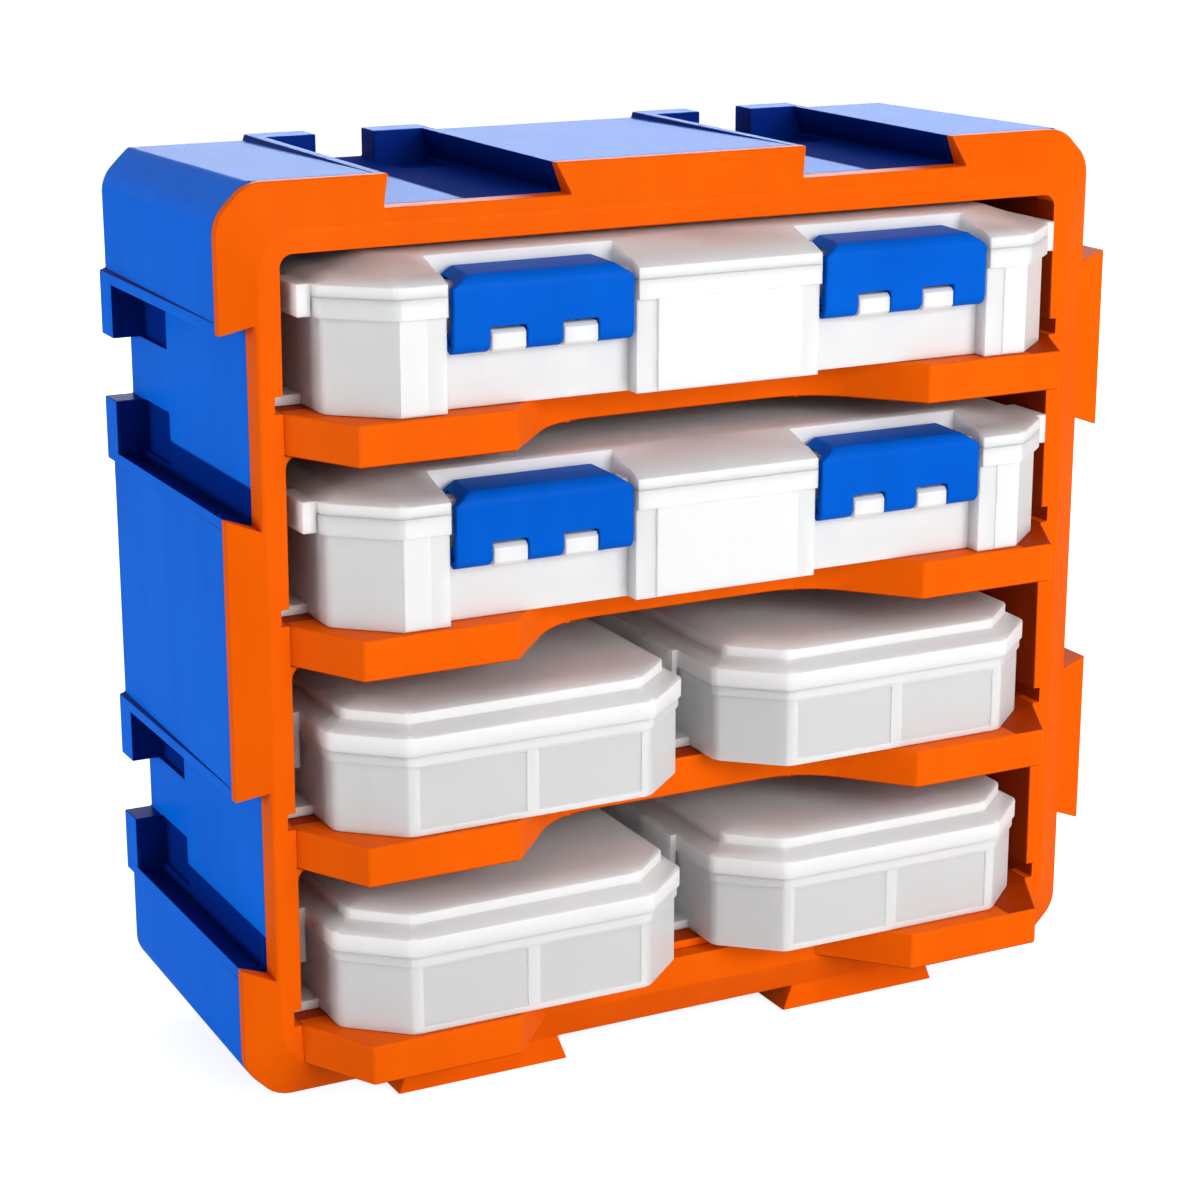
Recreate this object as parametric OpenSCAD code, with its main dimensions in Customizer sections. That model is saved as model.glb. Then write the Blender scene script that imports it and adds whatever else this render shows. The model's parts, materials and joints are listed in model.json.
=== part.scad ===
// Tool drawer cabinet: a blue rear shell with dovetail rails, an orange rack in front of it,
// two wide clear cases with blue latches and four small clear cases, all sliding out to the front.
// While it is drawn, x runs from the left outer face, y from the seam between shell and bezel
// (the front is negative) and z from the underside of the body. stand() moves the finished
// pieces to the middle of the footprint, on the underside of the keys.

/* [Cabinet] */
// Width of the cabinet body, without the keys on its right side
body_w = 300; // [290:1:340]
// Depth of the rear shell behind the bezel
shell_d = 105; // [95:1:150]
// Thickness of the shell's side walls
shell_wall = 3; // [2:0.5:4]
// Thickness of the shell's rear wall
rear_wall = 2.6; // [2.4:0.2:5]
// How far each outer wall of the shell leans in at the rear
shell_draft = 2; // [0:0.5:3]
// Chamfer of the four long corners of the body
corner_cut = 10; // [6:1:12]
// Thickness of the bezel at its crown round the window
bezel_t = 9.4; // [8:0.2:12]
// Thickness of the bezel at its outer edge
bezel_edge = 3.5; // [2:0.5:6]
// Width of the slope from the outer edge to the crown, at the sides
slope_side = 10.2; // [6:0.2:12]
// Width of the same slope at the top
slope_top = 13.5; // [8:0.5:16]
// Width of the same slope at the bottom
slope_foot = 11; // [6:0.5:14]
// Corner chamfer of the crown
crown_cut = 8; // [4:1:10]
// Height of the bezel's top rail
header_h = 20; // [18:0.5:26]
// Height of the bezel's bottom rail
footer_h = 21.5; // [18:0.5:26]
// Thickness of the side panels
panel_t = 4.2; // [4:0.1:6]
// Thickness of the back panel
back_t = 1.4; // [1:0.1:3]
// Rounding of the upper corners of the bays
bay_round = 4; // [2:0.5:5]
// Depth of a runner groove in a side panel
groove_d = 2.5; // [2:0.1:2.8]

/* [Dovetail rails] */
// Distance between the two rails of one side
key_pitch = 140; // [132:1:144]
// Width of a key at its root
key_root_w = 52.5; // [44:0.5:55]
// Width of a key at its tip
key_tip_w = 59; // [57:0.5:64]
// Height of a key
key_h = 8.5; // [6:0.5:9]
// Clearance of a key in a slot, on each side
key_fit = 0.6; // [0.3:0.1:1]
// Room under a key in a slot
key_room = 0.7; // [0.4:0.1:2]
// Wall under a slot
slot_wall = 3; // [2.6:0.2:4]
// Width of the lip beside a slot
slot_lip = 3.5; // [2:0.5:6]
// Length of the two stops at the rear end of a slot
stop_len = 11; // [8:1:18]
// Gap between the two stops
stop_gap = 20; // [10:1:26]
// Length of the pockets in the slot's floor in front of the stops
pocket_len = 24; // [10:1:40]
// Depth of the same pockets
pocket_d = 1.8; // [1:0.1:2]

/* [Shelves] */
// Height of the bar at the front of a shelf
bar_t = 12.5; // [10:0.5:16]
// How far the bars stand out in front of the shell
bar_proud = 34; // [32:0.5:40]
// Length of the slanted end of a bar
bar_end = 13; // [8:1:18]
// Thickness of a shelf plate
plate_t = 3; // [2:0.5:4]
// Width of the finger recess at the front of a bar
recess_w = 142; // [110:1:160]
// Width of the finger recess at its bottom
recess_in_w = 90; // [60:1:100]
// Depth of the finger recess
recess_d = 30; // [24:1:32]
// Length of the blend in the recess's inner corners
recess_blend = 14; // [6:1:18]

/* [Wide cases] */
// Height of a wide case
case_h = 44; // [44:0.5:48]
// Room over the wide case in the top row
top_gap = 1.75; // [1.5:0.25:4]
// Room over a wide case in the second row
row_gap = 6.75; // [5:0.25:10]
// Room between a wide case and the side panel
case_side_gap = 9; // [8:0.1:10]
// How far the front of the cases stands out in front of the shell
case_front = 32.3; // [30:0.1:32.4]
// Width of the front corner facets of a wide case
case_cut_x = 17.3; // [14:0.1:20]
// Depth of the same facets
case_cut_y = 15.4; // [12:0.1:18]
// Wall of a wide case
case_wall = 1.8; // [1.4:0.1:2.2]
// Height of the tray of a wide case
tray_h = 34; // [33.5:0.5:34.5]
// Height of the band round the lid of a wide case
band_h = 3.5; // [3:0.5:4]
// How far bands, rims and lugs stand out of the tray
rim_out = 1.5; // [1:0.1:1.6]
// Height of the bevel over the lid's band
lid_rise = 2.5; // [2:0.5:3]
// Width of the bevel over the lid's band
lid_inset = 6; // [4:0.5:8]
// Width of the flat strip round the lid's raised middle
lid_ledge = 1.5; // [1:0.5:3]
// Width of the label field in the middle of the front
label_w = 49; // [30:1:56]
// Length of the lugs at the sides of a wide lid
lug_len = 18; // [10:1:30]
// How far the lugs stand out of the lid's band
lug_out = 4.5; // [2:0.1:5]
// Width of the posts beside the corner facets
post_w = 8.5; // [6:0.5:10]
// Distance of each divider from the middle of a wide case
divider_x = 47.5; // [44:0.5:52]
// Thickness of the dividers
divider_t = 1.6; // [1.2:0.1:2]

/* [Latches] */
// Width of a latch
latch_w = 58; // [50:1:60]
// Width of the strip between a latch's bay and the corner facet
latch_strip = 14.8; // [12:0.1:17]
// Thickness of the latch plate
latch_t = 2.8; // [2:0.1:3]
// Height of the hinge axis over the underside of the case
latch_axis_z = 20; // [19:0.5:21]
// Radius of the latch's barrels
barrel_r = 3.3; // [3:0.1:3.4]
// Radius of the hinge pins
pin_r = 1.1; // [0.8:0.1:1.4]
// Room beside a latch in its bay
latch_gap = 1.5; // [1:0.1:2]
// Radius of the barrels of the lid's rear hinges
hinge_r = 3; // [2.6:0.1:3.4]
// Distance of each rear hinge from the middle of the case
hinge_x = 80; // [60:1:100]

/* [Small cases] */
// Height of the tray of a small case
small_tray_h = 25.3; // [24:0.1:28]
// Height of the band round the lid of a small case
small_band_h = 5.7; // [5:0.1:7]
// Height of the lid above its band
small_rise = 8.5; // [7:0.5:9]
// Room between a small case and the side panel
small_side_gap = 9.3; // [6:0.1:14]
// Room between two small cases in a row
small_mid_gap = 16; // [10:1:20]
// How much deeper the small cases on the right are pushed in
right_set_back = 4; // [0:0.5:5]
// Width of the front corner facets of a small case
small_cut_x = 18; // [12:1:20]
// Depth of the same facets
small_cut_y = 16; // [10:1:20]
// Wall of a small case
small_wall = 1.6; // [1.4:0.1:2]
// Length of the clip tabs at the sides of a small lid
tab_len = 22; // [14:1:30]
// How far the clip tabs hang below the lid
tab_drop = 12; // [8:1:16]

/* [Hidden] */
$fn = 48;

blue = [0.02, 0.30, 0.80];
orange = [1.0, 0.40, 0.02];
clear = [0.93, 0.94, 0.95, 0.8];
steel = [0.70, 0.71, 0.73];

// Clearances
seat_gap = 0.3;
pin_seat = 0.05;
pin_run = 0.1;
side_run = 0.4;
slip = 0.15;
over = 1;
skin = 0.01;

// Slots, and the uprights and side panels beside them
slot_d = key_h + key_room;
slot_mouth = key_root_w / 2 + key_fit;
slot_floor = key_tip_w / 2 + key_fit;
slot_base = slot_d + slot_wall;
panel_gap = 0.3;
stop_y = shell_d - stop_len;
stile_w = slot_base + panel_gap + panel_t;

// Levels
floor_top = footer_h + plate_t;
bay_h = case_h + row_gap;
function shelf_top(row) = floor_top + row * (bay_h + bar_t);
head_z = shelf_top(3) + case_h + top_gap;
body_h = head_z + header_h;
mid_x = body_w / 2;
open_half = mid_x - stile_w;
shell_back = shell_d - rear_wall;
inner_back = shell_back - back_t;
function case_z(row) = shelf_top(row) + seat_gap;

// Runners of the trays and their grooves
runner_t = 3;
runner_in = 1.5;
runner_front = 0;
runner_room = 2;
groove_h = runner_t + runner_room;

// Rear hinges and the backs of the cases
rear_gap = 1.4;
hinge_y = inner_back - rear_gap - hinge_r;
hinge_z = tray_h;
hinge_len = 28;
hinge_mid = 5;
case_back = hinge_y - hinge_r - slip;

// Wide case
case_half = open_half - case_side_gap;
band_half = case_half + rim_out;
floor_t = 2;
rim_h = 6;
bay_half = latch_w / 2 + latch_gap;
latch_x = case_half - case_cut_x - latch_strip - bay_half;
latch_face = -(case_front + rim_out);
axis_y = latch_face + barrel_r;
bay_y = axis_y + barrel_r + side_run;
band_top = tray_h + band_h;
ledge_z = band_top + lid_rise;
panel_slope = 12;
hood_up = 0.2;
hood_t = 2.4;
hood_len = 9;
hood_lift = 1.1;
hood_fall = 0.6;
hood_cut_x = 8;
hood_cut_z = 5;
hood_z = ledge_z + hood_up;
hood_back = bay_y + hood_len;
seat_z = hood_z - hood_t - hood_lift;
catch_d = 1;
catch_w = 3;
lip_t = 1.7;
lip_bite = 0.4;
hood_room = 1.2;
seat_back = hood_back + hood_room;
latch_bend = 5;
latch_bend_in = 3;
knuckle_room = 0.8;
pin_end = 1;
lug_y = -14;
lug_drop = 6;
post_out = 0.6;
knuckle_cut = 1.2;
label_out = 1;
label_foot = 0.5;

// Dividers and the ribs that guide them
divider_low = 2;
divider_h = tray_h - floor_t - divider_low;
guide_t = 1.2;
guide_len = 2;

// A latch is five equal fields wide: three prongs and two knuckles
field_w = latch_w / 5;

// Small case
small_half = (open_half - small_mid_gap / 2 - small_side_gap) / 2;
small_x = small_mid_gap / 2 + small_half;
small_outer_runner = small_side_gap + runner_in;
small_mid_clear = 1;
small_inner_runner = (small_mid_gap - small_mid_clear) / 2;
small_rim_h = 3.3;
small_step_in = 5.5;
small_step_z = 3;
small_step_h = 3;
small_crown_in = 7;
tab_t = 2;
tab_y = 6;
label_sink = 0.6;
label_edge = 2;
label_side = 3;
label_head = 1;
lid_back = 0.5;
rib_w = 4;

// Screws between the shell and the side panels
screw_r = 1.5;
screw_head_r = 3;
screw_head_h = 1.2;
screw_len = 13;
screw_sink = 0.2;
screw_slot = 0.8;
screw_y = shell_d - screw_head_h - screw_sink;
boss_half = 5;
boss_len = 14;
boss_in = 20;
boss_out = 5;
boss_end = 2;
boss_inset = 0.8;
screw_x = stile_w - panel_t - boss_inset;
screw_levels = [boss_in, body_h / 2, body_h - boss_in];

// Moves the drawn pieces to the middle of the footprint
module stand() {
    translate([-(body_w + key_h) / 2, (bar_proud - shell_d) / 2, key_h])
        children();
}

// Block between two corners
module block(low, high) {
    translate(low)
        cube(high - low);
}

// Block on one side of the middle, from x0 out to x1, with its ends in y and z as pairs
module side_block(side, x0, x1, y, z) {
    block([min(side * x0, side * x1), y[0], z[0]], [max(side * x0, side * x1), y[1], z[1]]);
}

// Prism along y with its outline in x and z
module beam(outline, y0, y1) {
    translate([0, y1, 0])
        rotate([90, 0, 0])
            linear_extrude(y1 - y0)
                polygon(outline);
}

// Prism along z with its outline in x and y
module slab(outline, z0, z1) {
    translate([0, 0, z0])
        linear_extrude(z1 - z0)
            polygon(outline);
}

function at_z(outline, z) = [for (p = outline) [p[0], p[1], z]];

// Solid between two outlines with the same number of points
module loft(low, z0, high, z1) {
    n = len(low);
    sides = [for (i = [0:n - 1]) [i, n + i, n + (i + 1) % n, (i + 1) % n]];
    polyhedron(points = concat(at_z(low, z0), at_z(high, z1)),
        faces = concat([[for (i = [0:n - 1]) i]], [[for (i = [n - 1:-1:0]) n + i]], sides));
}

// Rectangle with four cut corners
function cut_rect(x0, z0, x1, z1, c) = [[x0 + c, z0], [x1 - c, z0], [x1, z0 + c], [x1, z1 - c],
    [x1 - c, z1], [x0 + c, z1], [x0, z1 - c], [x0, z0 + c]];

// The same for the body, set in by t; the chamfer keeps its wall
function body_outline(t) = cut_rect(t, t, body_w - t, body_h - t, corner_cut - t * (2 - sqrt(2)));

// Plan of a case with cut front corners, set in by t; the facets keep their wall
function case_plan(half, back, cut, t) =
    let (f = t - case_front, turn = atan2(cut[1], cut[0]),
        cx = cut[0] - t * (1 - tan(turn / 2)), cy = cut[1] - t * (1 - tan(45 - turn / 2)))
    [[-half + t + cx, f], [half - t - cx, f], [half - t, f + cy], [half - t, back - t],
        [-half + t, back - t], [-half + t, f + cy]];
function wide_plan(t) = case_plan(case_half, case_back, [case_cut_x, case_cut_y], t);
function small_plan(t) = case_plan(small_half, case_back, [small_cut_x, small_cut_y], t);

// Places on the four sides of the body, with local z pointing out of the body
module on_sides(top, left, right, bottom) {
    for (s = [-1, 1]) {
        if (top)
            translate([mid_x + s * key_pitch / 2, 0, body_h])
                children();
        if (left)
            translate([0, 0, body_h / 2 + s * key_pitch / 2])
                rotate([0, -90, 0])
                    children();
        if (right)
            translate([body_w, 0, body_h / 2 + s * key_pitch / 2])
                rotate([0, 90, 0])
                    children();
        if (bottom)
            translate([mid_x + s * key_pitch / 2, 0, 0])
                rotate([0, 180, 0])
                    children();
    }
}

key_outline = [[-key_root_w / 2, 0], [key_root_w / 2, 0], [key_tip_w / 2, key_h], [-key_tip_w / 2, key_h]];
slot_outline = [[-slot_mouth, over], [-slot_mouth, 0], [-slot_floor, -slot_d],
    [slot_floor, -slot_d], [slot_mouth, 0], [slot_mouth, over]];
housing_outline = [[-slot_floor - slot_lip, -slot_base], [slot_floor + slot_lip, -slot_base],
    [slot_mouth + slot_lip, 0], [-slot_mouth - slot_lip, 0]];

// Root of a key, down into the leaning wall behind it
module key_root() {
    sink = shell_draft + shell_wall / 2;
    beam([[-key_root_w / 2, -sink], [key_root_w / 2, -sink], [key_root_w / 2, 0], [-key_root_w / 2, 0]],
        0, stop_y);
}

// The shell's leaning walls, as a full block
module shell_outside() {
    rotate([90, 0, 0])
        loft(body_outline(shell_draft), -shell_d, body_outline(0), 0);
}

// Hollow box of the shell
module shell_box() {
    difference() {
        shell_outside();
        rotate([90, 0, 0])
            loft(body_outline(shell_draft + shell_wall), -shell_back, body_outline(shell_wall), skin);
    }
}

module screw_places() {
    for (x = [screw_x, body_w - screw_x])
        for (z = screw_levels)
            translate([x, 0, z])
                children();
}

// Round bar along y
module rod_y(r, y0, y1) {
    translate([0, y0, 0])
        rotate([-90, 0, 0])
            cylinder(r = r, h = y1 - y0);
}

// Round bar along x
module rod_x(r, x0, x1) {
    translate([x0, 0, 0])
        rotate([0, 90, 0])
            cylinder(r = r, h = x1 - x0);
}

module rear_shell() {
    color(blue) stand() difference() {
        union() {
            shell_box();
            on_sides(true, true, false, false)
                beam(housing_outline, 0, shell_d);
        }
        on_sides(true, true, false, false) {
            beam(slot_outline, -over, stop_y);
            block([-stop_gap / 2, stop_y - over, -slot_d], [stop_gap / 2, shell_d + over, over]);
            for (s = [-1, 1])
                side_block(s, stop_gap / 2, slot_mouth, [stop_y - pocket_len, stop_y],
                    [-slot_d - pocket_d, -slot_d + slip]);
        }
        screw_places() {
            rod_y(screw_r + pin_seat, shell_back - over, shell_d + over);
            rod_y(screw_head_r + side_run, screw_y, shell_d + over);
        }
    }
}

// Runner grooves on the left; those on the right are their mirror image
module runner_grooves(y0, y1) {
    for (row = [0:3])
        block([stile_w - groove_d, y0, shelf_top(row)], [stile_w + over, y1, shelf_top(row) + groove_h]);
}

// Mirror image about the middle of the body
module other_side() {
    translate([body_w, 0, 0])
        mirror([1, 0, 0])
            children();
}

// Keys on the right and the bottom: arms of the bezel that lie along the shell
module key_arms() {
    difference() {
        on_sides(false, false, true, true)
            union() {
                beam(key_outline, -bezel_edge, stop_y);
                key_root();
            }
        shell_outside();
    }
}

// Round corners between the left upright and the top of each bay
module bay_corners() {
    for (row = [0:3]) {
        top = row < 3 ? shelf_top(row + 1) - bar_t : head_z;
        difference() {
            block([stile_w - over, -bezel_t, top - bay_round], [stile_w + bay_round, 0, top]);
            translate([stile_w + bay_round, 0, top - bay_round])
                rod_y(bay_round, -bezel_t - over, over);
        }
    }
}

module front_bezel() {
    crown = cut_rect(slope_side, slope_foot, body_w - slope_side, body_h - slope_top, crown_cut);
    color(orange) stand() union() {
        difference() {
            union() {
                beam(body_outline(0), -bezel_edge, 0);
                rotate([90, 0, 0])
                    loft(body_outline(0), bezel_edge, crown, bezel_t);
            }
            block([stile_w, -bezel_t - over, footer_h], [body_w - stile_w, over, head_z]);
            on_sides(true, true, false, false)
                beam(slot_outline, -bezel_t - over, over);
            runner_grooves(-bezel_t - over, over);
            other_side()
                runner_grooves(-bezel_t - over, over);
        }
        key_arms();
        bay_corners();
        other_side()
            bay_corners();
    }
}

// Block for one screw behind the side panel, up to the shell's rear wall beside the back panel
module boss(z) {
    outer = screw_x - boss_out;
    block([outer, inner_back - boss_len, z - boss_half],
        [stile_w - panel_t + over, inner_back, z + boss_half]);
    block([outer, inner_back - over, z - boss_half],
        [stile_w - panel_t - panel_gap, shell_back, z + boss_half]);
}

// Lower and upper end of the side panels and the back panel
panel_low = shell_wall + shell_draft;
panel_high = body_h - slot_base - panel_gap;

// Panel on the left; the right one is its mirror image
module side_panel() {
    difference() {
        union() {
            block([stile_w - panel_t, 0, panel_low], [stile_w, inner_back, panel_high]);
            for (z = screw_levels)
                boss(z);
        }
        runner_grooves(-over, inner_back + over);
        for (z = screw_levels)
            translate([screw_x, 0, z])
                rod_y(screw_r + pin_seat, inner_back - boss_len + boss_end, shell_back + over);
    }
}

module left_side_panel() {
    color(orange) stand()
        side_panel();
}

module right_side_panel() {
    color(orange) stand()
        other_side()
            side_panel();
}

module back_panel() {
    edge = stile_w - panel_t;
    color(orange) stand() difference() {
        block([edge, inner_back, panel_low], [body_w - edge, shell_back, panel_high]);
        screw_places()
            rod_y(screw_r + pin_seat, inner_back - over, shell_back + over);
    }
}

function blend(a, b, c, n) = [for (i = [0:n]) let (t = i / n)
    (1 - t) * (1 - t) * a + 2 * t * (1 - t) * b + t * t * c];

// Finger recess in plan, with its mouth towards the front
function recess_plan() =
    let (mouth = [recess_w / 2, -bar_proud], inner = [recess_in_w / 2, -bar_proud + recess_d],
        run = norm(mouth - inner), on_wall = inner + (mouth - inner) * recess_blend / run,
        on_floor = inner - [recess_blend, 0], half = concat([mouth + [0, -over], mouth],
            blend(on_wall, inner, on_floor, 6)), n = len(half))
    concat(half, [for (i = [n - 1:-1:0]) [-half[i][0], half[i][1]]]);

// Bar in plan, from its slanted ends to the back at depth y_back
function bar_plan(y_back) = [[-open_half, y_back], [-open_half, -bezel_t],
    [-open_half + bar_end, -bar_proud], [open_half - bar_end, -bar_proud],
    [open_half, -bezel_t], [open_half, y_back]];

module shelf(row, bar_back) {
    z = shelf_top(row);
    color(orange) stand() translate([mid_x, 0, 0]) difference() {
        union() {
            slab(bar_plan(bar_back), z - bar_t, z);
            slab(bar_plan(inner_back), z - plate_t, z);
        }
        slab(recess_plan(), z - bar_t - over, z + over);
    }
}

module floor_shelf() { shelf(0, -bezel_t); }
module lower_shelf() { shelf(1, 0); }
module middle_shelf() { shelf(2, 0); }
module upper_shelf() { shelf(3, 0); }

module frame_screws() {
    color(steel) stand()
        screw_places() {
            difference() {
                rod_y(screw_head_r, screw_y, screw_y + screw_head_h);
                block([-screw_head_r, screw_y + screw_head_h / 2, -screw_slot / 2],
                    [screw_head_r, shell_d, screw_slot / 2]);
            }
            rod_y(screw_r, screw_y - screw_len, screw_y);
        }
}

// Places of the two latches of a wide case
module latch_places() {
    for (s = [-1, 1])
        translate([s * latch_x, 0, 0])
            children();
}

// Side view of a knuckle in y and z: a square with its front corners cut
knuckle_side = let (y0 = axis_y - barrel_r, y1 = bay_y + case_wall / 2, c = knuckle_cut,
        z0 = latch_axis_z - barrel_r, z1 = latch_axis_z + barrel_r)
    [[y0 + c, z0], [y1, z0], [y1, z1], [y0 + c, z1], [y0, z1 - c], [y0, z0 + c]];

module knuckles() {
    for (s = [-1, 1])
        translate([s * field_w, 0, 0])
            difference() {
                rotate([90, 0, 90])
                    translate([0, 0, -field_w / 2 + side_run])
                        linear_extrude(field_w - 2 * side_run)
                            polygon(knuckle_side);
                translate([0, axis_y, latch_axis_z])
                    rod_x(pin_r + pin_seat, -field_w, field_w);
            }
}

// Space in front of the bay's back wall, and the seat of the latch's hood in the lid
module bay_pocket(z0, z1) {
    latch_places()
        block([-bay_half, -case_front - rim_out - over, z0], [bay_half, bay_y, z1]);
}

module bay_wall(z0, z1) {
    latch_places()
        block([-bay_half - case_wall, -case_front - over, z0],
            [bay_half + case_wall, bay_y + case_wall, z1]);
}

// One barrel row of the rear hinge: the tray's in the middle or the lid's two at the ends
module hinge_row(x0, x1, web_z) {
    translate([0, hinge_y, hinge_z])
        rod_x(hinge_r, x0, x1);
    block([x0, case_back - case_wall / 2, hinge_z + min(web_z, 0)],
        [x1, hinge_y, hinge_z + max(web_z, 0)]);
}

module hinge_bores() {
    for (s = [-1, 1])
        translate([s * hinge_x, hinge_y, hinge_z])
            rod_x(pin_r + pin_seat, -hinge_len, hinge_len);
}

// Pairs of ribs at the front and the back of a tray that hold a divider
module guides(y0, y1, z0, z1) {
    near = divider_t / 2 + slip;
    for (e = [-1, 1])
        for (y = [y0 - slip, y1 - guide_len])
            side_block(e, near, near + guide_t, [y, y + guide_len + slip], [z0 - slip, z1]);
}

// Everything behind the back of a wide case
module back_cut(z0, z1) {
    reach = band_half + over;
    block([-reach, case_back, z0], [reach, case_back + 2 * rim_out, z1]);
}

module wide_tray() {
    difference() {
        union() {
            difference() {
                union() {
                    slab(wide_plan(0), 0, tray_h);
                    slab(wide_plan(-rim_out), tray_h - rim_h, tray_h);
                    slab([[-label_w / 2, -case_front - label_out], [label_w / 2, -case_front - label_out],
                        [label_w / 2, 0], [-label_w / 2, 0]], label_foot, tray_h - rim_h);
                    for (s = [-1, 1])
                        side_block(s, case_half - case_cut_x - post_w, case_half - case_cut_x,
                            [-case_front - post_out, 0], [label_foot, tray_h - rim_h]);
                }
                bay_pocket(-over, tray_h + over);
                back_cut(-over, tray_h + over);
                difference() {
                    slab(wide_plan(case_wall), floor_t, tray_h + over);
                    bay_wall(0, tray_h + 2 * over);
                }
            }
            latch_places()
                knuckles();
            for (s = [-1, 1]) {
                translate([s * hinge_x, 0, 0])
                    hinge_row(-hinge_mid, hinge_mid, -hinge_r);
                side_block(s, case_half - over, open_half + runner_in, [runner_front, case_back],
                    [0, runner_t]);
                translate([s * divider_x, 0, 0])
                    guides(bay_y + case_wall, case_back - case_wall, floor_t, tray_h - rim_h);
            }
        }
        hinge_bores();
    }
}

module wide_dividers() {
    for (s = [-1, 1])
        translate([s * divider_x, 0, 0])
            block([-divider_t / 2, bay_y + case_wall + slip, floor_t],
                [divider_t / 2, case_back - case_wall - slip, floor_t + divider_h]);
}

// Outside of the lid: band, bevel and raised panel, set in by t and lowered by drop
module lid_form(t, drop, z0) {
    edge = wide_plan(t - rim_out);
    ledge = wide_plan(t + lid_inset - rim_out);
    foot = wide_plan(t + lid_inset + lid_ledge - rim_out);
    crown = wide_plan(t + lid_inset + lid_ledge + panel_slope - rim_out);
    slab(edge, z0, band_top - drop);
    loft(edge, band_top - drop, ledge, ledge_z - drop);
    loft(foot, ledge_z - drop - slip, crown, case_h - drop);
}

// Block at one side of a wide lid, where its lug hooks under the tray's rim
module lug(side, x0, x1, z0, z1) {
    side_block(side, x0, x1, [lug_y, lug_y + lug_len], [z0, z1]);
}

module wide_lid() {
    difference() {
        union() {
            difference() {
                lid_form(0, 0, tray_h);
                difference() {
                    lid_form(case_wall + rim_out, case_wall, tray_h - over);
                    bay_wall(0, case_h);
                    latch_places()
                        block([-bay_half - case_wall, -case_front, 0],
                            [bay_half + case_wall, seat_back + case_wall, case_h]);
                }
                bay_pocket(tray_h - over, case_h + over);
                latch_places() {
                    block([-bay_half, bay_y - over, seat_z], [bay_half, seat_back, case_h + over]);
                    block([-bay_half, hood_back - catch_w, seat_z - catch_d],
                        [bay_half, seat_back, case_h]);
                }
                back_cut(0, case_h);
            }
            for (s = [-1, 1]) {
                translate([s * hinge_x, 0, 0]) {
                    hinge_row(hinge_mid + side_run, hinge_len / 2, hinge_r);
                    hinge_row(-hinge_len / 2, -hinge_mid - side_run, hinge_r);
                }
                lug(s, band_half - over, band_half + lug_out, tray_h - lug_drop, band_top);
            }
        }
        hinge_bores();
        for (s = [-1, 1])
            lug(s, case_half - over, band_half + slip, tray_h - 2 * lug_drop, tray_h);
    }
}

// Side view of a latch, in y and z, from the barrel up the plate and back along the hood
function latch_side() =
    let (y0 = latch_face, y1 = latch_face + latch_t, zb = latch_axis_z,
        z0 = hood_z - hood_fall, z1 = hood_z - hood_fall - hood_t)
    concat([[y1, zb], [y0, zb]],
        blend([y0, z0 - latch_bend], [y0, z0], [y0 + latch_bend, z0], 5),
        [[hood_back, hood_z], [hood_back, seat_z - lip_bite], [hood_back - lip_t, seat_z - lip_bite],
            [hood_back - lip_t, hood_z - hood_t]],
        blend([y1 + latch_bend_in, z1], [y1, z1], [y1, z1 - latch_bend_in], 4));

module latch() {
    difference() {
        union() {
            rotate([90, 0, 90])
                translate([0, 0, -latch_w / 2])
                    linear_extrude(latch_w)
                        polygon(latch_side());
            translate([0, axis_y, latch_axis_z])
                rod_x(barrel_r, -latch_w / 2, latch_w / 2);
        }
        for (s = [-1, 1]) {
            translate([s * field_w, 0, 0])
                block([-field_w / 2, latch_face - over, latch_axis_z - barrel_r - over],
                    [field_w / 2, bay_y, latch_axis_z + barrel_r + knuckle_room]);
            beam([[s * (latch_w / 2 - hood_cut_x), hood_z + over],
                [s * (latch_w / 2 + over), hood_z + over],
                [s * (latch_w / 2 + over), hood_z - hood_cut_z]], latch_face - over, hood_back + over);
        }
        translate([0, axis_y, latch_axis_z])
            rod_x(pin_r + pin_run, -latch_w, latch_w);
    }
}

module latch_pin() {
    translate([0, axis_y, latch_axis_z])
        rod_x(pin_r, -latch_w / 2 + pin_end, latch_w / 2 - pin_end);
}

module hinge_pins() {
    for (s = [-1, 1])
        translate([s * hinge_x, hinge_y, hinge_z])
            rod_x(pin_r, -hinge_len / 2, hinge_len / 2);
}

// Place of a wide case on its shelf
module wide_at(row) {
    stand()
        translate([mid_x, 0, case_z(row)])
            children();
}

module top_tray() { color(clear) wide_at(3) wide_tray(); }
module top_lid() { color(clear) wide_at(3) wide_lid(); }
module top_dividers() { color(clear) wide_at(3) wide_dividers(); }
module top_latch_left() { color(blue) wide_at(3) translate([-latch_x, 0, 0]) latch(); }
module top_latch_right() { color(blue) wide_at(3) translate([latch_x, 0, 0]) latch(); }
module top_latch_pins() { color(steel) wide_at(3) latch_places() latch_pin(); }
module top_hinge_pins() { color(steel) wide_at(3) hinge_pins(); }
module second_tray() { color(clear) wide_at(2) wide_tray(); }
module second_lid() { color(clear) wide_at(2) wide_lid(); }
module second_dividers() { color(clear) wide_at(2) wide_dividers(); }
module second_latch_left() { color(blue) wide_at(2) translate([-latch_x, 0, 0]) latch(); }
module second_latch_right() { color(blue) wide_at(2) translate([latch_x, 0, 0]) latch(); }
module second_latch_pins() { color(steel) wide_at(2) latch_places() latch_pin(); }
module second_hinge_pins() { color(steel) wide_at(2) hinge_pins(); }

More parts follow.
